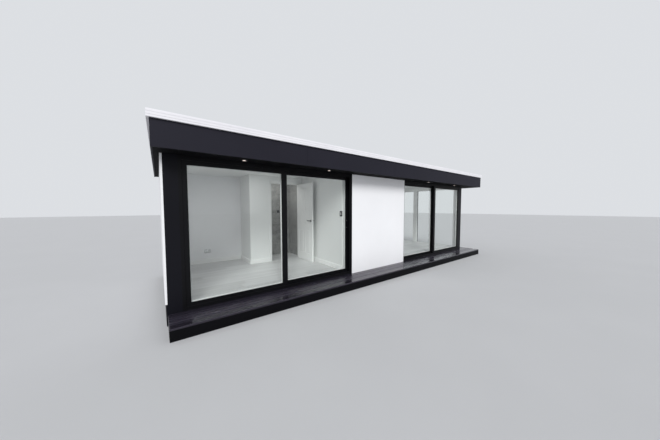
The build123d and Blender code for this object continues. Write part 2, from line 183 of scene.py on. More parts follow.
def relief(tree, height, depth):
    """Turns a height pattern into a bump, with its depth in metres."""
    return node(tree, "ShaderNodeBump", Height=height, Distance=depth).outputs["Normal"]


def either(tree, share, first, second):
    """One shader where share is 0, and another where it is 1."""
    mixed = tree.nodes.new("ShaderNodeMixShader")
    tree.links.new(share, mixed.inputs[0])
    tree.links.new(first.outputs[0], mixed.inputs[1])
    tree.links.new(second.outputs[0], mixed.inputs[2])
    return mixed.outputs[0]


def part_of(tree, place, axis):
    """One axis of the coordinates."""
    return node(tree, "ShaderNodeSeparateXYZ", Vector=place).outputs[axis.upper()]


def rgb(red, green, blue):
    """A colour with full alpha."""
    return (red, green, blue, 1.0)


# %% [markdown]
# ## Painted walls
#
# The outer render is a fine-grained coat, thick and matt, with a faint cloudiness from the trowel.
# The room walls are emulsion on plasterboard, with the small stipple that a roller leaves. The inner
# door has a smoother satin paint. Each could be a tree of its own, but one function covers them,
# because they differ only in colour, in the scale and depth of their grain, and in roughness: the
# numbers after each colour say those, in that order.

# %% Whites


def wall_finish(name, colour, grain, depth, rough):
    """A matt or satin paint with a grain, a cloudy tone and an uneven gloss."""
    made, tree, shader = new_finish(name)
    place = coordinates(tree)
    cloud = noise(tree, place, 1.3, 4.0)
    stipple = noise(tree, place, grain, 2.0)
    darker = tuple(c * 0.965 for c in colour)
    wire(tree, shader,
         Base_Color=blend(tree, spread(tree, cloud, 0.0, 1.0), rgb(*darker), rgb(*colour)),
         Roughness=spread(tree, cloud, rough - 0.04, rough + 0.04),
         Normal=relief(tree, stipple, depth), Specular_IOR_Level=0.35)
    return made


white_render = wall_finish("white_render", (0.90, 0.90, 0.915), 320.0, 0.0007, 0.85)
wall_white = wall_finish("wall_white", (0.86, 0.86, 0.875), 240.0, 0.0008, 0.85)
interior_white = wall_finish("interior_white", (0.84, 0.845, 0.835), 420.0, 0.0003, 0.62)
door_white = wall_finish("door_white", (0.86, 0.86, 0.85), 600.0, 0.0001, 0.38)
print("whites", [m.name for m in (white_render, wall_white, interior_white, door_white)])

# %% [markdown]
# ## Black and charcoal boards
#
# The corner boards, the frames and the roof edge are factory-coated, so their colour hardly varies.
# What shows is the way light breaks over them: a fine orange-peel on powder coat, and a soft
# unevenness on the long fascia boards. A fine noise in the bump gives the peel, and a wide one in
# the colour and the gloss gives the drift. The specular level is low, because the real black parts
# stay black even in full daylight. The numbers after each colour are its roughness, the scale and
# depth of its peel, and that specular level.

# %% Coated blacks


def coated_finish(name, colour, rough, grain, depth, shine):
    """A factory coat: one colour with a slight drift, a fine peel and a soft gloss."""
    made, tree, shader = new_finish(name)
    place = coordinates(tree)
    drift = noise(tree, place, 0.9, 3.0)
    peel = noise(tree, place, grain, 1.0)
    lighter = tuple(c * 1.25 for c in colour)
    wire(tree, shader,
         Base_Color=blend(tree, spread(tree, drift, 0.0, 1.0), rgb(*colour), rgb(*lighter)),
         Roughness=spread(tree, drift, rough - 0.05, rough + 0.05),
         Normal=relief(tree, peel, depth), Specular_IOR_Level=shine)
    return made


black_cladding = coated_finish("black_cladding", (0.0048, 0.0048, 0.0075), 0.45, 500.0, 0.00015, 0.12)
fascia_grey = coated_finish("fascia_grey", (0.0150, 0.0145, 0.0215), 0.6, 350.0, 0.0002, 0.12)
# The soffit boards are the fascia's charcoal board made much darker: painted shade for the shade under
# the roof edge.
soffit_painted_shade = coated_finish("soffit_painted_shade", (0.0035, 0.0035, 0.0045), 0.8, 350.0, 0.0002, 0.08)
deck_edge_black = coated_finish("deck_edge_black", (0.0030, 0.0030, 0.0040), 0.5, 400.0, 0.0002, 0.06)
print("coats", black_cladding.name, fascia_grey.name, soffit_painted_shade.name, deck_edge_black.name)

# %% [markdown]
# ## Frames that are black outside and white inside
#
# The door and window profiles are made of two shells joined at the outer face of the glass: the
# outer shell is black and the inner one white. Seen through the glass, the white shell shows as a
# bright line beside each black stile. The colour changes at one plane, so a position along y or x,
# compared with the glass face, is nearly all that the material needs. The free end of a fixed leaf
# is black right through, so there a second test looks at the distance from the middle of the front.

# %% Two-colour frames
front_middle = (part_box("fixed_glass")[0].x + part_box("fixed_glass")[1].x) / 2


def two_tone_finish(name, axis, line, inner_side, free_end=0.0):
    """A powder-coated profile that is black outside the line, and near the free end, and else white."""
    made, tree, shader = new_finish(name)
    place = coordinates(tree)
    drift = noise(tree, place, 2.0, 2.0)
    peel = noise(tree, place, 900.0, 1.0)
    where = part_of(tree, place, axis)
    test = "GREATER_THAN" if inner_side > 0 else "LESS_THAN"
    inside = sums(tree, test, where, line)
    if free_end:
        away = sums(tree, "SUBTRACT", part_of(tree, place, "x"), front_middle)
        clear = sums(tree, "GREATER_THAN", sums(tree, "ABSOLUTE", away), free_end)
        inside = sums(tree, "MULTIPLY", inside, clear)
    black = blend(tree, drift, rgb(0.0032, 0.0032, 0.0042), rgb(0.0048, 0.0048, 0.0058))
    white = blend(tree, drift, rgb(0.82, 0.82, 0.81), rgb(0.86, 0.86, 0.85))
    wire(tree, shader, Base_Color=blend(tree, inside, black, white),
         Roughness=spread(tree, drift, 0.34, 0.44), Normal=relief(tree, peel, 0.00008),
         Specular_IOR_Level=0.13)
    return made


coat_skin = 0.004
fixed_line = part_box("fixed_glass")[0].y
sliding_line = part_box("sliding_glass_left")[0].y
window_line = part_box("end_window_glass")[1].x
free_end = front_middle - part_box("fixed_leaf_left")[1].x + coat_skin
fixed_leaf_finish = two_tone_finish("frame_black_fixed_leaf", "y", fixed_line, 1, free_end)
sliding_leaf_finish = two_tone_finish("frame_black_sliding_leaf", "y", sliding_line, 1)
window_finish = two_tone_finish("frame_black_window", "x", window_line, -1)
post_finish = two_tone_finish("corner_post_coat", "x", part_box("wall_back")[1].x - coat_skin, -1)
print("glass faces", round(fixed_line, 3), round(sliding_line, 3), round(window_line, 3))

# %% [markdown]
# ## Deck boards and floor boards
#
# Both are long boards, and a board is never one tone: fine lines run along it, and each board
# differs a little from the next. The lines come from a noise that is stretched along the board.
# The tone of each board comes from an attribute called tone, which is written on the mesh when the
# boards are laid. The deck is smooth black composite that mirrors what stands on it, with fine lines
# along the boards that are paler and duller than the rest. The indoor boards are pale grey laminate
# with a printed grain. One function makes both, because they differ only in tone, grain and gloss.

# %% Board finishes


def board_finish(name, dark, light, along, grain_scale, grain_stretch, rough, shine, depth, dull,
                 tint=(1, 1, 1)):
    """Boards with lines along one axis, some of them duller by up to dull, and a tone of their own."""
    made, tree, shader = new_finish(name)
    stretch = (1.0 / grain_stretch, 1, 1) if along == "x" else (1, 1.0 / grain_stretch, 1)
    lines = coordinates(tree, stretch)
    place = coordinates(tree)
    fine = noise(tree, lines, grain_scale, 5.0, 0.65)
    wide = noise(tree, lines, grain_scale / 6, 3.0)
    tone = node(tree, "ShaderNodeAttribute", {"attribute_name": "tone"}).outputs["Fac"]
    both = sums(tree, "ADD", sums(tree, "MULTIPLY", fine, 0.55), sums(tree, "MULTIPLY", wide, 0.45))
    share = sums(tree, "ADD", spread(tree, both, 0.0, 0.7), sums(tree, "MULTIPLY", tone, 0.3))
    patches = noise(tree, place, 2.3, 4.0)
    duller = spread(tree, both, 0.0, dull, 0.42, 0.58)
    wire(tree, shader, Base_Color=blend(tree, share, rgb(*dark), rgb(*light)),
         Roughness=sums(tree, "ADD", spread(tree, patches, *rough), duller),
         Normal=relief(tree, fine, depth), Specular_IOR_Level=shine, Specular_Tint=rgb(*tint))
    return made


deck_look = {"dark": (0.0015, 0.0014, 0.0022), "light": (0.0400, 0.0350, 0.0520),
             "grain_scale": 28.0, "grain_stretch": 300.0, "rough": (0.09, 0.13), "shine": 0.60,
             "depth": 0.0002, "dull": 0.22, "tint": (0.94, 0.86, 1.0)}
deck_along = board_finish("deck_composite_front", along="x", **deck_look)
deck_across = board_finish("deck_composite_side", along="y", **deck_look)
laminate = board_finish("floor_laminate", (0.40, 0.40, 0.40), (0.74, 0.74, 0.745), "x",
                        grain_scale=90.0, grain_stretch=45.0, rough=(0.30, 0.42), shine=0.45,
                        depth=0.0002, dull=0.08)
print("boards", deck_along.name, deck_across.name, laminate.name)

# %% [markdown]
# ## Timber, rubber, roof edge and metal
#
# The bearers and joists under the pod are sawn softwood, made near-black as painted shade for the shade
# under the deck. Its rings are a wave texture stretched along the board. The roof is a rubber sheet,
# dull and slightly dusty. The roof edge trim is pale coated metal, with two fine lines folded along it:
# they are too fine to model, so they are found by their height, and painted darker as painted shade in
# the folds. The hinges and the small room's lever are satin metal with a brushed grain, and the pull
# handles of the glazed doors follow the frames, dark outside and white inside.

# %% Timber


def timber_finish(name, pale, dark):
    """Sawn softwood: rings stretched along the board, over a rough-sawn surface."""
    made, tree, shader = new_finish(name)
    place = coordinates(tree, (0.6, 5.0, 5.0))
    warp = noise(tree, place, 3.0, 3.0)
    rings = node(tree, "ShaderNodeTexWave", {"wave_type": "RINGS", "rings_direction": "X"},
                 Vector=place, Scale=4.0, Distortion=6.0, Detail=3.0).outputs["Fac"]
    share = sums(tree, "MULTIPLY", rings, warp)
    sawn = noise(tree, coordinates(tree, (1.0, 1.0, 0.1)), 400.0, 2.0)
    wire(tree, shader, Base_Color=blend(tree, share, rgb(*pale), rgb(*dark)),
         Roughness=spread(tree, sawn, 0.7, 0.85), Normal=relief(tree, sawn, 0.0008))
    return made


timber = timber_finish("timber", (0.50, 0.36, 0.22), (0.28, 0.18, 0.10))
# The bearers and joists take this grain in near-black: painted shade for the shade under the deck and
# the pod.
timber_painted_shade = timber_finish("timber_painted_shade", (0.022, 0.018, 0.014), (0.010, 0.008, 0.007))
print("timber", timber.name, timber_painted_shade.name)

# %% Rubber roof sheet


def rubber_finish():
    """Black roofing rubber with dust in soft patches and a faint weave from its backing."""
    made, tree, shader = new_finish("roof_rubber")
    place = coordinates(tree)
    dust = noise(tree, place, 1.1, 6.0, 0.6)
    fine = noise(tree, place, 120.0, 3.0)
    black, dusty = rgb(0.028, 0.028, 0.030), rgb(0.060, 0.060, 0.060)
    wire(tree, shader, Base_Color=blend(tree, spread(tree, dust, 0.0, 1.0), black, dusty),
         Roughness=spread(tree, dust, 0.62, 0.85), Normal=relief(tree, fine, 0.0006))
    return made


roof_rubber = rubber_finish()

# %% Pale roof edge
trim_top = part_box("roof_trim")[1].z
trim_face_height = 0.09
fold_shares = (0.36, 0.72)
fold_half_width = 0.0022
fold_depth = 0.0015
fold_painted_shade = 0.25


def trim_finish():
    """Pale coated metal with a slight lilac cast and two fine fold lines along its face, painted darker
    as painted shade in the folds.
    """
    made, tree, shader = new_finish("trim_white")
    place = coordinates(tree)
    cloud = noise(tree, place, 2.4, 4.0)
    height = part_of(tree, place, "z")
    lines = 0.0
    for share in fold_shares:
        line = trim_top - trim_face_height * share
        apart = sums(tree, "ABSOLUTE", sums(tree, "SUBTRACT", height, line))
        lines = sums(tree, "ADD", sums(tree, "LESS_THAN", apart, fold_half_width), lines)
    pale = blend(tree, spread(tree, cloud, 0.0, 1.0), rgb(0.80, 0.79, 0.825), rgb(0.87, 0.86, 0.885))
    # The fold lines are darkened in colour: painted shade in the folds of the metal.
    darker = sums(tree, "MULTIPLY", lines, fold_painted_shade)
    wire(tree, shader, Base_Color=blend(tree, darker, pale, rgb(0.46, 0.45, 0.50)),
         Roughness=spread(tree, cloud, 0.30, 0.45), Normal=relief(tree, lines, -fold_depth))
    return made


trim_white = trim_finish()
print("fold lines below the top", [round(trim_face_height * share, 3) for share in fold_shares])

# %% Brushed metals


def brushed_finish(name, colour, rough):
    """Bare metal with fine upright brush lines."""
    made, tree, shader = new_finish(name)
    lines = noise(tree, coordinates(tree, (1, 1, 0.05)), 900.0, 3.0)
    brighter = tuple(c * 1.15 for c in colour)
    wire(tree, shader, Base_Color=blend(tree, lines, rgb(*colour), rgb(*brighter)),
         Roughness=spread(tree, lines, rough - 0.06, rough + 0.08),
         Normal=relief(tree, lines, 0.00005), Metallic=1.0)
    return made


steel = brushed_finish("steel", (0.55, 0.55, 0.56), 0.28)
dark_metal = brushed_finish("handle_metal", (0.10, 0.10, 0.105), 0.34)
print("metals", steel.name, dark_metal.name)

# %% Pull handles, dark outside and white inside
handle_finish = two_tone_finish("handle_metal_doors", "y", sliding_line, 1)

# %% [markdown]
# ## Glass
#
# Clear glass both lets light through and mirrors what stands before it. A glass shader alone would
# cast a dark shadow into the rooms, because a lamp's ray stops at it. So rays from lamps and soft
# bounce light pass straight through, and every other ray sees real glass with a faint green cast.

# %% Sealed glass units


def glass_finish():
    """Clear glass that lets lamp light and bounce light through."""
    made, tree, shader = new_finish("glass")
    smear = noise(tree, coordinates(tree), 1.6, 4.0)
    wire(tree, shader, Base_Color=rgb(0.955, 0.975, 0.965), Transmission_Weight=1.0, IOR=1.45,
         Roughness=spread(tree, smear, 0.0, 0.012))
    clear = node(tree, "ShaderNodeBsdfTransparent", Color=rgb(0.93, 0.95, 0.94))
    path = tree.nodes.new("ShaderNodeLightPath")
    passing = sums(tree, "MAXIMUM", path.outputs["Is Shadow Ray"], path.outputs["Is Diffuse Ray"])
    tree.links.new(either(tree, passing, shader, clear), tree.nodes["Material Output"].inputs["Surface"])
    return made


glass = glass_finish()

# %% [markdown]
# ## Lamps, rubber seals, tiles and small plastic
#
# The lamp lenses glow a warm white. The seals round the glass are soft black rubber. The tiles in
# the small room are mid-grey with a cloudy stone print and a satin glaze.

# %% Small finishes


def lamp_finish():
    """A lit warm lens with a fine frost."""
    made, tree, shader = new_finish("lamp_lens")
    frost = noise(tree, coordinates(tree), 300.0, 2.0)
    wire(tree, shader, Base_Color=rgb(0.85, 0.78, 0.74), Emission_Strength=0.9,
         Emission_Color=blend(tree, frost, rgb(1.0, 0.78, 0.70), rgb(1.0, 0.86, 0.80)),
         Roughness=spread(tree, frost, 0.3, 0.4))
    return made


def tile_finish():
    """Grey stoneware with soft clouds and fine specks."""
    made, tree, shader = new_finish("grey_tile")
    place = coordinates(tree)
    cloud = noise(tree, place, 7.0, 6.0, 0.6)
    speck = noise(tree, place, 160.0, 2.0)
    tone = node(tree, "ShaderNodeAttribute", {"attribute_name": "tone"}).outputs["Fac"]
    share = sums(tree, "ADD", spread(tree, cloud, 0.0, 0.7), sums(tree, "MULTIPLY", tone, 0.35))
    wire(tree, shader, Base_Color=blend(tree, share, rgb(0.15, 0.15, 0.145), rgb(0.36, 0.36, 0.345)),
         Roughness=spread(tree, speck, 0.22, 0.40), Normal=relief(tree, speck, 0.0001))
    return made


lamp_lens = lamp_finish()
grey_tile = tile_finish()
bezel_metal = coated_finish("lamp_bezel", (0.010, 0.010, 0.011), 0.5, 500.0, 0.0001, 0.2)
seal_rubber = coated_finish("seal_rubber", (0.005, 0.005, 0.0055), 0.7, 700.0, 0.0002, 0.15)
bead_white = coated_finish("bead_white", (0.72, 0.72, 0.715), 0.4, 800.0, 0.00005, 0.35)
grout = coated_finish("tile_grout", (0.42, 0.42, 0.41), 0.9, 900.0, 0.0004, 0.2)
switch_white = coated_finish("switch_white", (0.66, 0.66, 0.65), 0.35, 800.0, 0.00005, 0.5)
print("small finishes", lamp_lens.name, grey_tile.name, seal_rubber.name)

# %% [markdown]
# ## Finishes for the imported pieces
#
# A painter works from a schedule, which says what goes on each piece. Here it is a table from node
# to finish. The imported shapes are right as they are, so only their material changes.

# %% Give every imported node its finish
finish_of = {
    "ceiling": interior_white, "corner_cladding": black_cladding,
    "corner_post_left": wall_white, "corner_post_right": post_finish,
    "deck_boards": deck_along, "deck_joists": timber_painted_shade, "deck_skirt": deck_edge_black,
    "door_frame_left": sliding_leaf_finish, "door_frame_right": sliding_leaf_finish,
    "downlights": bezel_metal, "end_window_frame": window_finish, "end_window_glass": glass,
    "fascia_back": fascia_grey, "fascia_front": fascia_grey, "fascia_sides": fascia_grey,
    "fixed_glass": glass, "fixed_leaf_left": fixed_leaf_finish,
    "fixed_leaf_right": fixed_leaf_finish, "floor_bearers": timber_painted_shade, "floor_panel": timber,
    "front_header": interior_white, "handle_left": handle_finish, "handle_right": handle_finish,
    "inner_floor": laminate, "partition_rooms": interior_white,
    "partition_wc_front": interior_white, "partition_wc_head": interior_white,
    "partition_wc_side": interior_white, "plinth_skirts": black_cladding,
    "render_panel": white_render, "roof_deck": timber, "roof_joists": timber,
    "roof_membrane": roof_rubber, "roof_trim": trim_white, "sliding_glass_left": glass,
    "sliding_glass_right": glass, "sliding_leaf_left": sliding_leaf_finish,
    "sliding_leaf_right": sliding_leaf_finish, "soffit_boards": soffit_painted_shade,
    "wall_back": wall_white, "wall_end_back": wall_white, "wall_end_head": interior_white,
    "wall_front_centre": interior_white, "wall_left": wall_white,
    "wc_door_handle": dark_metal, "wc_door_hinges": steel, "wc_door_leaf": door_white,
    "wc_door_lining": door_white,
}
for name, finish in finish_of.items():
    nodes[name].data.materials.clear()
    nodes[name].data.materials.append(finish)
print("without a finish:", sorted(set(nodes) - set(finish_of)))

# %% [markdown]
# ## Modelling helpers
#
# A new piece starts as a cube or a cylinder at its real size and place, is shaped in edit mode, and
# ends with its place in its mesh and its object at the origin. An operator works on everything that
# is selected, so each helper first deselects all. What repeats is modelled once and copied, because
# a copy costs far less time than a new piece.

# %% Helpers for pieces


def only(piece):
    """Selects one object and makes it active."""
    bpy.ops.object.select_all(action="DESELECT")
    piece.select_set(True)
    bpy.context.view_layer.objects.active = piece


def settle(piece, name):
    """Puts the piece's place, turn and size into its mesh and names it."""
    only(piece)
    bpy.ops.object.transform_apply(location=True, rotation=True, scale=True)
    piece.name = name
    piece.data.name = name
    return piece


def bevel_edges(piece, width, steps, wanted=None):
    """Bevels the edges of a piece that pass a test, or all of them."""
    only(piece)
    bpy.ops.object.mode_set(mode="EDIT")
    bpy.ops.mesh.select_all(action="DESELECT" if wanted else "SELECT")
    if wanted:
        bpy.ops.object.mode_set(mode="OBJECT")
        for line in piece.data.edges:
            line.select = wanted(line)
        bpy.ops.object.mode_set(mode="EDIT")
    bpy.ops.mesh.bevel(offset=width, segments=steps, affect="EDGES")
    bpy.ops.object.mode_set(mode="OBJECT")


def board(name, low, high, edge=0.0, steps=1):
    """A cube stretched between two corners, with all its edges bevelled."""
    bpy.ops.object.select_all(action="DESELECT")
    bpy.ops.mesh.primitive_cube_add(size=1, location=(Vector(low) + Vector(high)) / 2)
    piece = bpy.context.object
    piece.scale = Vector(high) - Vector(low)
    settle(piece, name)
    if edge:
        bevel_edges(piece, edge, steps)
    return piece


def corners_of(first, last):
    """The lowest and the highest corner of the box between two points."""
    return Vector(map(min, first, last)), Vector(map(max, first, last))


def copy_of(name, mesh, shift):
    """A piece with its own copy of a mesh, moved by shift."""
    piece = bpy.data.objects.new(name, mesh.copy())
    piece.data.transform(Matrix.Translation(shift))
    bpy.context.scene.collection.objects.link(piece)
    return piece


stock = {}


def from_stock(name, low, high, edge=0.0, steps=1):
    """A board of a size that repeats: the first one is modelled, and the others are copies of it."""
    low, high = Vector(low), Vector(high)
    size = tuple(round(length, 5) for length in high - low)
    if (size, edge) not in stock:
        first = board(name, low, high, edge, steps)
        stock[size, edge] = (first.data.copy(), low)
        return first
    mesh, first_low = stock[size, edge]
    return copy_of(name, mesh, low - first_low)


def disc(name, centre, radius, depth, edge, steps=2, corners=32, turn=(0, 0, 0)):
    """A short cylinder, upright unless it is turned, with its two rims bevelled."""
    bpy.ops.object.select_all(action="DESELECT")
    bpy.ops.mesh.primitive_cylinder_add(vertices=corners, radius=radius, depth=depth,
                                        location=centre, rotation=turn)
    piece = settle(bpy.context.object, name)

    def on_rim(line):
        """Whether an edge belongs to one of the round ends, the only faces with over 4 corners."""
        return any(len(face.vertices) > 4 and set(line.vertices) <= set(face.vertices)
                   for face in piece.data.polygons)

    bevel_edges(piece, edge, steps, on_rim)
    return piece


square_on = 0.999


def pick_faces(piece, direction, both=False):
    """Selects, in edit mode, the faces that look along a direction, or both ways along it."""
    only(piece)
    bpy.ops.object.mode_set(mode="EDIT")
    bpy.ops.mesh.select_mode(type="FACE")
    bpy.ops.mesh.select_all(action="DESELECT")
    bpy.ops.object.mode_set(mode="OBJECT")
    for face in piece.data.polygons:
        facing = face.normal.dot(Vector(direction))
        face.select = (abs(facing) if both else facing) > square_on
    bpy.ops.object.mode_set(mode="EDIT")


def join(name, pieces):
    """Joins several objects into one."""
    bpy.ops.object.select_all(action="DESELECT")
    for piece in pieces:
        piece.select_set(True)
    bpy.context.view_layer.objects.active = pieces[0]
    if len(pieces) > 1:
        bpy.ops.object.join()
    joined = bpy.context.object
    joined.name = name
    joined.data.name = name
    return joined


def dress(piece, finish, body):
    """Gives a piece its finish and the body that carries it."""
    piece.data.materials.clear()
    piece.data.materials.append(finish)
    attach(piece, body)
    return piece


def smooth(piece, degrees=35):
    """Shades curved faces smooth and keeps real corners sharp."""
    only(piece)
    bpy.ops.object.shade_smooth_by_angle(angle=math.radians(degrees))
    return piece


def give_tone(piece, value):
    """Writes one tone, from 0 to 1, on every point of a board or tile."""
    attribute = piece.data.attributes.new("tone", "FLOAT", "POINT")
    attribute.data.foreach_set("value", [value] * len(piece.data.vertices))
    return piece


# %% [markdown]
# ## Deck boards
#
# Each row of the deck is laid from boards of the length that they are sold in, with the joints
# staggered from row to row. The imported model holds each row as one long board, so a board here is
# as wide and thick as that row, and a narrow joint separates it from the next. A row could be one
# board with its joints drawn on, but real gaps catch the light as a deck does.

# %% Lay a row of boards
random.seed(41)
shortest_cut = 0.001


def lay_row(low, high, near, width, length, first_share, edge, steps=1, joint=0.0):
    """Boards in a row from the low to the high corner's x; the first is first_share of a length."""
    laid = []
    start = low.x
    stop = start + length * first_share
    while start < high.x - shortest_cut:
        stop = min(stop, high.x)
        gap = joint if stop < high.x else 0
        plank = from_stock("plank", (start, near, low.z), (stop - gap, near + width, high.z), edge,
                           steps)
        laid.append(give_tone(plank, random.random()))
        start, stop = stop, stop + length
    return laid


# %% Lay the front of the deck
deck_low, deck_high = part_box("deck_boards")
deck_board_length = 3.6
deck_first_shares = (1.0, 0.5)
deck_joint = 0.003
deck_edge = 0.003
deck_gap = 0.006
front_rows = 3
front_width = (front_face - deck_low.y - deck_gap * (front_rows - 1)) / front_rows

front_boards = []
for row in range(front_rows):
    front_boards += lay_row(deck_low, deck_high, deck_low.y + row * (front_width + deck_gap),
                            front_width, deck_board_length, deck_first_shares[row % 2], deck_edge,
                            2, deck_joint)
deck_front = dress(join("deck_boards_front", front_boards), deck_along, "root")
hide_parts("deck_boards")
print("front deck boards", len(front_boards), "each", round(front_width, 3), "wide")

# %% Lay the side of the deck
wall_end_x = at(wall_length, 0, 0).x
side_rows = 2
side_width = (deck_high.x - wall_end_x - deck_gap * (side_rows - 1)) / side_rows

side_boards = []
for row in range(side_rows):
    near = wall_end_x + row * (side_width + deck_gap)
    plank = from_stock("plank", (near, front_face + deck_gap, deck_low.z),
                       (near + side_width, deck_high.y, deck_high.z), deck_edge, 2)
    side_boards.append(give_tone(plank, random.random()))
dress(join("deck_boards_side", side_boards), deck_across, "root")
print("side deck boards", len(side_boards))

# %% [markdown]
# ## Indoor floor
#
# The laminate is laid along the building in rows of equal planks, each row started with a different
# length, so that no joints line up. A tiny bevel on every plank makes the joints that the eye reads
# as a floor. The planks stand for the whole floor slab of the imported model, and the rows are laid by
# the helper that laid the deck.

# %% Lay the laminate
plank_length = 1.28
plank_rows = 14
plank_bevel = 0.0009
plank_first_shares = (0.3, 1.0)
floor_low, floor_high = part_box("inner_floor")
plank_width = (floor_high.y - floor_low.y) / plank_rows
planks = []
for row in range(plank_rows):
    planks += lay_row(floor_low, floor_high, floor_low.y + row * plank_width, plank_width,
                      plank_length, random.uniform(*plank_first_shares), plank_bevel)
laminate_floor = dress(join("laminate_floor", planks), laminate, "root")
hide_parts("inner_floor")
print("planks", len(planks), "each", round(plank_width, 3), "wide")

# %% [markdown]
# ## Skirting
#
# A skirting board is a plain strip with a rounded upper edge. Each one is a cube of the wall's
# length, and only its upper front edge is bevelled, which is quicker than sweeping a profile along
# the wall. It stops where the next wall begins.

# %% Shape a skirting board
skirting_height = 0.095
skirting_depth = 0.015
skirting_round = 0.007
close_enough = 1e-5


def skirting_run(start, stop, away):
    """One skirting board from start to stop along a wall; away points into the room."""
    foot = at(start[0], start[1], floor_top)
    tip = at(stop[0] + away[0] * skirting_depth, stop[1] + away[1] * skirting_depth,
             floor_top + skirting_height)
    piece = board("skirting", *corners_of(foot, tip))
    front = Vector((away[0], away[1], 0))
    face = max(point.co.dot(front) for point in piece.data.vertices)
    top = max(point.co.z for point in piece.data.vertices)

    def upper_front(line):
        """Whether an edge is the upper one of the face that looks into the room."""
        ends = [piece.data.vertices[i].co for i in line.vertices]
        return all(abs(end.z - top) < close_enough and abs(end.dot(front) - face) < close_enough
                   for end in ends)

    bevel_edges(piece, skirting_round, 4, upper_front)
    return piece


# %% Fit the skirting
wc_left, wc_inner_left = span("partition_wc_side", "x")
wc_front, wc_inner_front = span("partition_wc_front", "y")
lining_left, lining_right = span("wc_door_lining", "x")
lining_top = span("wc_door_lining", "z")[1]
lining_thickness = 0.025
architrave_width = 0.058
architrave_depth = 0.015
architrave_setback = 0.012
casing_left = lining_left + lining_thickness - architrave_setback - architrave_width
casing_right = lining_right - lining_thickness + architrave_setback + architrave_width
room_right = wall_length - wall_inner_left
centre_right = span("wall_front_centre", "x")[1]
window_pier = span("end_window_frame", "y")[1]
inner_face = span("front_header", "y")[1]
left_start = wall_inner_left + skirting_depth
left_stop = wc_left - skirting_depth
right_start = partition_right + skirting_depth
right_stop = room_right - skirting_depth

runs = [
    ((wall_inner_left, inner_face), (wall_inner_left, wall_inner_back), (1, 0)),
    ((left_start, wall_inner_back), (left_stop, wall_inner_back), (0, -1)),
    ((wc_left, wc_front), (wc_left, wall_inner_back), (-1, 0)),
    ((left_stop, wc_front), (casing_left, wc_front), (0, -1)),
    ((partition_left, inner_face), (partition_left, wc_front), (-1, 0)),
    ((partition_right, inner_face), (partition_right, wall_inner_back), (1, 0)),
    ((right_start, wall_inner_back), (right_stop, wall_inner_back), (0, -1)),
    ((right_start, inner_face), (centre_right, inner_face), (0, 1)),
    ((room_right, window_pier), (room_right, wall_inner_back), (-1, 0)),
]
skirtings = [skirting_run(*run) for run in runs]
dress(smooth(join("skirting_boards", skirtings)), door_white, "root")
print("skirting boards", len(runs))

# %% [markdown]
# ## Architrave round the inner doorway
#
# The joint between the door lining and the wall is covered by a moulded strip on three sides. Each
# strip is a long cube with all its edges rounded by a bevel of three steps, which is all that shows
# of the moulding from across the room.

# %% Fit the architrave
architrave_round = 0.004
casing_top = lining_top - lining_thickness + architrave_setback + architrave_width
casing_head = casing_top - architrave_width
casing = []
for x0, x1, z0, z1 in (
        (casing_left, casing_left + architrave_width, floor_top, casing_top),
        (casing_right - architrave_width, casing_right, floor_top, casing_top),
        (casing_left + architrave_width, casing_right - architrave_width, casing_head, casing_top)):
    casing.append(board("casing", at(x0, wc_front - architrave_depth, z0), at(x1, wc_front, z1),
                        architrave_round, 3))
dress(smooth(join("architrave", casing)), door_white, "root")
print("architrave from", round(casing_left, 3), "to", round(casing_right, 3))

# %% [markdown]
# ## Tiles in the small room
#
# The tiles are laid in courses on a thin bed of grout. A tile is modelled once for each size, with
# a small bevel on its edges, and copied over the wall; the last ones in a row are cut narrower. A
# brick texture could draw them, but real joints keep their depth in any light. A small dark square
# on the back wall is the control for the room's fan or heater, left blank here.

# %% Tile the small room
tile_width = 0.60
tile_height = 0.30
tile_joint = 0.003
tile_depth = 0.009
tile_edge = 0.001
bed_depth = 0.004
bed_edge = 0.0005
ceiling_bottom = span("ceiling", "z")[0]
tiled_height = ceiling_bottom - floor_top
tile_face = wall_inner_back - bed_depth - tile_depth


def tiled_wall(name, start, length, along, facing):
    """Courses of tiles on a wall from start, running along one direction and facing another."""
    along = Vector((along[0], along[1], 0))
    facing = Vector((facing[0], facing[1], 0))
    origin = at(start[0], start[1], floor_top)
    tiles = []
    for course in range(math.ceil(tiled_height / tile_height)):
        z0 = course * tile_height
        z1 = min(z0 + tile_height - tile_joint, tiled_height)
        for column in range(math.ceil(length / tile_width)):
            u0 = column * tile_width
            u1 = min(u0 + tile_width - tile_joint, length)
            first = origin + along * u0 + facing * bed_depth + Vector((0, 0, z0))
            last = origin + along * u1 + facing * (bed_depth + tile_depth) + Vector((0, 0, z1))
            tile = from_stock("tile", *corners_of(first, last), tile_edge)
            tiles.append(give_tone(tile, random.random()))
    dress(join(name, tiles), grey_tile, "root")
    far = origin + along * length + facing * bed_depth + Vector((0, 0, tiled_height))
    bed = board(name + "_bed", *corners_of(origin, far), bed_edge)
    dress(bed, grout, "root")
    return len(tiles)


side_length = tile_face - wc_inner_front
tile_count = tiled_wall("tiles_back", (wc_inner_left, wall_inner_back), partition_left - wc_inner_left,
                        (1, 0), (0, -1))
tile_count += tiled_wall("tiles_right", (partition_left, wc_inner_front), side_length, (0, 1), (-1, 0))
tile_count += tiled_wall("tiles_left", (wc_inner_left, wc_inner_front), side_length, (0, 1), (1, 0))
print("tiles", tile_count, "tile face at", round(tile_face, 3))

# %% Fit the wall control
plate_edge = 0.003
control_width = 0.075
control_depth = 0.012
control_middle = at(2.770, tile_face, 1.473)
control_reach = Vector((control_width / 2, 0, control_width / 2))
control = board("wall_control", control_middle - control_reach - Vector((0, control_depth, 0)),
                control_middle + control_reach, plate_edge, 3)
dress(smooth(control), bezel_metal, "root")
print("wall control", control_width, "square")

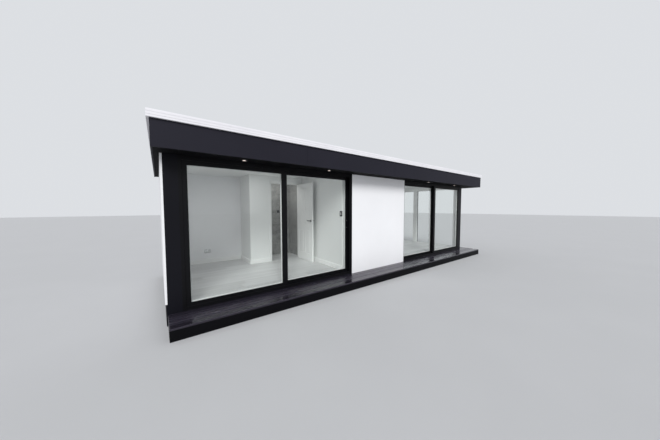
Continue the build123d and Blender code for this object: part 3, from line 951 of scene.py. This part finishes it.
# %% [markdown]
# ## Seals and beads round the glass
#
# On its outer face each pane is held by a thin black rubber seal, and on its inner face by a white
# bead that stands into the opening. Through the glass the bead shows as a bright line all round.
# Both are flat rings, which could be four strips each. Here the two large faces of a board are inset
# by the ring's width and the two inner faces are bridged, which opens the middle and leaves no joint
# at the corners. The rings of a sliding leaf ride with that leaf.

# %% Shape the rings
seal_width = 0.003
seal_depth = 0.002
bead_width = 0.012
bead_back = 0.001
glass_rebate = 0.012
leaf_thickness = 0.048
touching = 0.001


def ring(name, low, high, direction, width):
    """A flat rectangular ring between two corners, open along a direction."""
    piece = board(name, low, high)
    pick_faces(piece, direction, both=True)
    bpy.ops.mesh.inset(thickness=width, depth=0, use_individual=True)
    bpy.ops.mesh.bridge_edge_loops()
    bpy.ops.object.mode_set(mode="OBJECT")
    return piece


def stretches(node_name, axis):
    """The separate stretches along one axis that a node's faces cover."""
    mesh = nodes[node_name].data
    covers = []
    for face in mesh.polygons:
        places = [getattr(mesh.vertices[i].co, axis) for i in face.vertices]
        covers.append((min(places), max(places)))
    merged = []
    for low, high in sorted(covers):
        if merged and low < merged[-1][1] + touching:
            merged[-1][1] = max(merged[-1][1], high)
        else:
            merged.append([low, high])
    return merged


def pane_rings(name, node_name, along, across, face, depth, width):
    """A ring on one face of each pane in a node; across is the axis that the glass faces."""
    low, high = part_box(node_name)
    direction = Vector((1, 0, 0)) if across == "x" else Vector((0, 1, 0))
    rings = []
    for start, stop in stretches(node_name, along):
        first, last = low.copy(), high.copy()
        setattr(first, along, start + glass_rebate)
        setattr(last, along, stop - glass_rebate)
        first.z += glass_rebate
        last.z -= glass_rebate
        setattr(first, across, min(face, face + depth))
        setattr(last, across, max(face, face + depth))
        rings.append(ring("ring", first, last, direction, width))
    return join(name, rings)


def hold_glass(place, node_name, leaf_name, body):
    """The outer seals and the inner beads of the panes in one node of the doors."""
    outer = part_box(node_name)[0].y
    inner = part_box(node_name)[1].y
    bead_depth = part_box(leaf_name)[0].y + leaf_thickness - bead_back - inner
    seals = pane_rings("seals_" + place, node_name, "x", "y", outer, -seal_depth, seal_width)
    dress(seals, seal_rubber, body)
    beads = pane_rings("beads_" + place, node_name, "x", "y", inner, bead_depth, bead_width)
    dress(beads, bead_white, body)
    return bead_depth


# %% Fit the seals and beads
fixed_bead = hold_glass("fixed_leaves", "fixed_glass", "fixed_leaf_left", "root")
window_seals = pane_rings("seals_end_window", "end_window_glass", "y", "x", window_line, seal_depth,
                          seal_width)
dress(window_seals, seal_rubber, "root")
for side in ("left", "right"):
    hold_glass("leaf_" + side, "sliding_glass_" + side, "sliding_leaf_" + side, "leaf_" + side)
print("bead depth", round(fixed_bead, 4), "panes in the end window",
      len(stretches("end_window_glass", "y")))

# %% [markdown]
# ## Edge trims of the white panel
#
# The render of the front panel ends on each side at a thin black angle bead, which keeps its edge
# straight. From the front only the bead's edge shows, as a fine black line. Each one is a thin board
# that covers the side of the render and sits on the black boards behind it, because the angle's
# other leg is buried in the render.

# %% Fit the edge trims
edge_trim_width = 0.003
edge_trim_round = 0.0008
panel_low, panel_high = stretches("render_panel", "x")[-1]
panel_corner, panel_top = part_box("render_panel")[0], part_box("render_panel")[1].z
panel_face = panel_corner.y
cladding_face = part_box("corner_cladding")[0].y
trims = []
for x in (panel_low - edge_trim_width, panel_high):
    trims.append(board("trim", (x, panel_face, panel_corner.z),
                       (x + edge_trim_width, cladding_face, panel_top), edge_trim_round, 2))
dress(join("panel_edge_trims", trims), black_cladding, "root")
print("white panel from", round(panel_low - left_face, 4), "to", round(panel_high - left_face, 4),
      "edge trims", round(cladding_face - panel_face, 4), "deep")

# %% [markdown]
# ## Lenses of the soffit lights
#
# Each light is a flat black ring with a shallow dish in its middle, and the dish holds a domed
# frosted lens that stands a little below the ring. A short cylinder with a wide bevel on its rims
# gives that dome. The four lights are alike, so one lens is modelled and copied to the others.

# %% Set the lenses
lens_radius = 0.0230
lens_depth = 0.0070
lens_round = 0.0030
lens_rise = 0.0015
light_low, light_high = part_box("downlights")
light_y = (light_low.y + light_high.y) / 2
light_spots = [(low + high) / 2 for low, high in stretches("downlights", "x")]
first_lens = disc("lens", (light_spots[0], light_y, light_low.z + lens_rise), lens_radius, lens_depth,
                  lens_round, steps=4)
lenses = [first_lens]
for x in light_spots[1:]:
    lenses.append(copy_of("lens", first_lens.data, (x - light_spots[0], 0, 0)))
dress(smooth(join("downlight_lenses", lenses)), lamp_lens, "root")
print("lenses at", [round(x - left_face, 2) for x in light_spots])

# %% [markdown]
# ## Screws of the pull handles
#
# Each handle plate is held by a screw at both of its round ends. A screw head is a small cylinder
# with a rounded rim. The hole for its key is made by insetting the front face and pushing it in,
# which needs no cutting body.

# %% Drive the screws
screw_radius = 0.0052
screw_rise = 0.0022
screw_round = 0.0007
keyhole_share = 0.5
keyhole_depth_share = 0.6
plate_half_width = 0.015
plate_setback = 0.028


def screw(x, y, z, away):
    """One screw head on a plate face at y, looking along -y or +y."""
    head = disc("screw", (x, y + away * screw_rise / 2, z), screw_radius, screw_rise, screw_round,
                corners=20, turn=(math.pi / 2, 0, 0))
    pick_faces(head, (0, away, 0))
    bpy.ops.mesh.inset(thickness=screw_radius * keyhole_share, depth=0)
    push = (0, -away * screw_rise * keyhole_depth_share, 0)
    bpy.ops.mesh.extrude_region_move(TRANSFORM_OT_translate={"value": push})
    bpy.ops.object.mode_set(mode="OBJECT")
    return head


def handle_screws(side):
    """The four screws of the two plates on one sliding leaf."""
    low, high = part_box("handle_" + side)
    x = (low.x + high.x) / 2
    heads = []
    for y, away in ((low.y + plate_setback, -1), (high.y - plate_setback, 1)):
        for z in (low.z + plate_half_width, high.z - plate_half_width):
            heads.append(screw(x, y, z, away))
    dress(smooth(join("handle_screws_" + side, heads)), steel, "leaf_" + side)
    print("handle screws", side, len(heads))


handle_screws("left")
handle_screws("right")

# %% [markdown]
# ## Socket and light switch
#
# A double socket sits low on the back wall of the left room, and a light switch is on the wall
# between the rooms, beside the doors. Both are thin plates with softened edges. The rockers are
# small blocks with rounded edges that stand just proud of the plate. The pin slots are not cut: each
# is a raised near-black block, painted shade for the shade inside a slot, so the plate stays a plain
# closed board.

# %% Fit the socket
socket_width = 0.146
socket_height = 0.086
socket_depth = 0.008
socket_centre = at(0.89, wall_inner_back, 0.508)
outlet_offset = 0.036
pin_drop = 0.012
upright_slot = (0, 0.020, 0.004, 0.008)
left_slot = (-0.011, 0.0, 0.0064, 0.004)
right_slot = (0.011, 0.0, 0.0064, 0.004)
slot_proud = 0.0006
slot_edge = 0.0002
socket_rocker_half = 0.005
socket_rocker_foot = 0.018
socket_rocker_head = 0.034
socket_rocker_proud = 0.0035
socket_rocker_edge = 0.001
plate_low = socket_centre - Vector((socket_width / 2, socket_depth, socket_height / 2))
plate_high = socket_centre + Vector((socket_width / 2, 0, socket_height / 2))
dress(smooth(board("socket_plate", plate_low, plate_high, plate_edge, 3)), steel, "root")
slot_shade_blocks = []
rockers = []
socket_face = plate_low.y
for x in (socket_centre.x - outlet_offset, socket_centre.x + outlet_offset):
    # Each pin slot is a small near-black block proud of the plate: painted shade for the shade inside
    # the hole.
    for aside, rise, width, height in (upright_slot, left_slot, right_slot):
        slot_x = x + aside
        slot_z = socket_centre.z - pin_drop + rise
        slot_shade_blocks.append(board("slot", (slot_x - width / 2, socket_face - slot_proud, slot_z - height / 2),
                             (slot_x + width / 2, socket_face, slot_z + height / 2), slot_edge))
    rockers.append(board("rocker", (x - socket_rocker_half, socket_face - socket_rocker_proud,
                                    socket_centre.z + socket_rocker_foot),
                         (x + socket_rocker_half, socket_face, socket_centre.z + socket_rocker_head),
                         socket_rocker_edge, 2))
dress(join("socket_slot_shade", slot_shade_blocks), seal_rubber, "root")
dress(smooth(join("socket_rockers", rockers)), seal_rubber, "root")
print("socket plate", [round(v, 3) for v in plate_high - plate_low])

# %% Fit the light switch
switch_width = 0.085
switch_height = 0.117
switch_depth = 0.008
rocker_size = Vector((0.004, 0.026, 0.022))
rocker_pitch = 0.030
rocker_edge = 0.0015
switch_centre = at(partition_left, 0.187, 1.45)
switch_low = switch_centre - Vector((switch_depth, switch_width / 2, switch_height / 2))
switch_high = switch_centre + Vector((0, switch_width / 2, switch_height / 2))
dress(smooth(board("switch_plate", switch_low, switch_high, plate_edge, 3)), bezel_metal, "root")
rockers = []
for rise in (-rocker_pitch / 2, rocker_pitch / 2):
    rocker_middle = Vector((switch_low.x - rocker_size.x / 4, switch_centre.y, switch_centre.z + rise))
    rockers.append(board("rocker", rocker_middle - rocker_size / 2, rocker_middle + rocker_size / 2,
                         rocker_edge, 3))
dress(smooth(join("switch_rockers", rockers)), switch_white, "root")
print("switch plate at", [round(v, 3) for v in switch_centre])

# %% [markdown]
# ## Joints in the roof sheet
#
# The rubber is laid in sheets across the roof, and where two sheets overlap the joint shows as a
# low, flat step. A bump could hint at it, but a thin strip also shows in the outline of the roof.
# Each strip follows the fall of the roof, because its back edge is lowered.

# %% Lay the roof joints
lap_width = 0.10
lap_rise = 0.003
lap_bedding = 0.001
lap_edge = 0.001
lap_front_margin = 0.045
lap_back_margin = 0.002
lap_count = 2
roof_fall = 0.045
sheet_low, sheet_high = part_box("roof_membrane")
middle_y = (sheet_low.y + sheet_high.y) / 2
laps = []
for step in range(lap_count):
    x = sheet_low.x + (sheet_high.x - sheet_low.x) * (step + 1) / (lap_count + 1)
    lap = board("lap", (x - lap_width / 2, sheet_low.y + lap_front_margin, sheet_high.z - lap_bedding),
                (x + lap_width / 2, sheet_high.y - lap_back_margin, sheet_high.z + lap_rise), lap_edge)
    for corner in lap.data.vertices:
        if corner.co.y > middle_y:
            corner.co.z -= roof_fall
    laps.append(lap)
dress(join("roof_sheet_joints", laps), roof_rubber, "root")
print("roof joints", len(laps))

# %% [markdown]
# ## Floor and light
#
# The studio has a large pale floor and a plain pale surround. Two things are kept apart: what the
# camera, a reflection or a view through glass sees, and what lights the building. The world is a
# soft light from all round, and a wide low sun from the front left gives the shapes their form.
# A flat lamp under each ceiling stands for the light that bounces about inside a white room.

# %% Studio floor
floor_reach = 60.0
floor_thickness = 0.04
ground = board("studio_floor", (-floor_reach, -floor_reach, -floor_thickness),
               (floor_reach, floor_reach, 0.0))


def studio_floor_finish():
    """A pale matt floor with the faintest mottle."""
    made, tree, shader = new_finish("studio_floor")
    mottle = noise(tree, coordinates(tree), 0.8, 4.0)
    wire(tree, shader, Base_Color=blend(tree, mottle, rgb(0.56, 0.565, 0.575), rgb(0.61, 0.615, 0.625)),
         Roughness=spread(tree, mottle, 0.75, 0.9))
    return made


ground.data.materials.append(studio_floor_finish())
print("studio floor", 2 * floor_reach, "m square")

# %% Surround and sun
surround = (0.72, 0.74, 0.77)
surround_light = (0.80, 0.82, 0.86)
surround_strength = 0.62
sun_strength = 2.2
sun_width = 26
sun_lean = 55
sun_turn = -28

world = bpy.data.worlds.new("studio")
bpy.context.scene.world = world
world.use_nodes = True
tree = world.node_tree
tree.nodes.clear()
path = tree.nodes.new("ShaderNodeLightPath")
seen = sums(tree, "MAXIMUM", path.outputs["Is Camera Ray"], path.outputs["Is Glossy Ray"])
seen = sums(tree, "MAXIMUM", seen, path.outputs["Is Transmission Ray"])
light = node(tree, "ShaderNodeBackground", Color=rgb(*surround_light), Strength=surround_strength)
view = node(tree, "ShaderNodeBackground", Color=rgb(*surround), Strength=1.0)
node(tree, "ShaderNodeOutputWorld", Surface=either(tree, seen, light, view))

sun = bpy.data.objects.new("sun", bpy.data.lights.new("sun", "SUN"))
bpy.context.scene.collection.objects.link(sun)
sun.data.energy = sun_strength
sun.data.angle = math.radians(sun_width)
sun.rotation_euler = (math.radians(sun_lean), 0, math.radians(sun_turn))
print("sun", sun_strength, "surround", surround_strength)

# %% Room lamps
lamp_drop = 0.03
room_lamps = (("lamp_left_room", 0.3, 1.9, 0.4, 1.5, 8.8), ("lamp_right_room", 3.6, 7.9, 0.5, 2.5, 7.0),
              ("lamp_small_room", 1.9, 2.9, 2.05, 2.5, 4.5))
for name, x0, x1, y0, y1, watts in room_lamps:
    lamp = bpy.data.objects.new(name, bpy.data.lights.new(name, "AREA"))
    bpy.context.scene.collection.objects.link(lamp)
    lamp.data.shape = "RECTANGLE"
    lamp.data.size = x1 - x0
    lamp.data.size_y = y1 - y0
    lamp.data.energy = watts
    lamp.location = at((x0 + x1) / 2, (y0 + y1) / 2, ceiling_bottom - lamp_drop)
    lamp.visible_camera = False
    lamp.visible_glossy = False
    lamp.visible_transmission = False
    print(name, round(x1 - x0, 2), "by", round(y1 - y0, 2), "m,", watts, "W")

bpy.context.scene.view_settings.view_transform = "Standard"
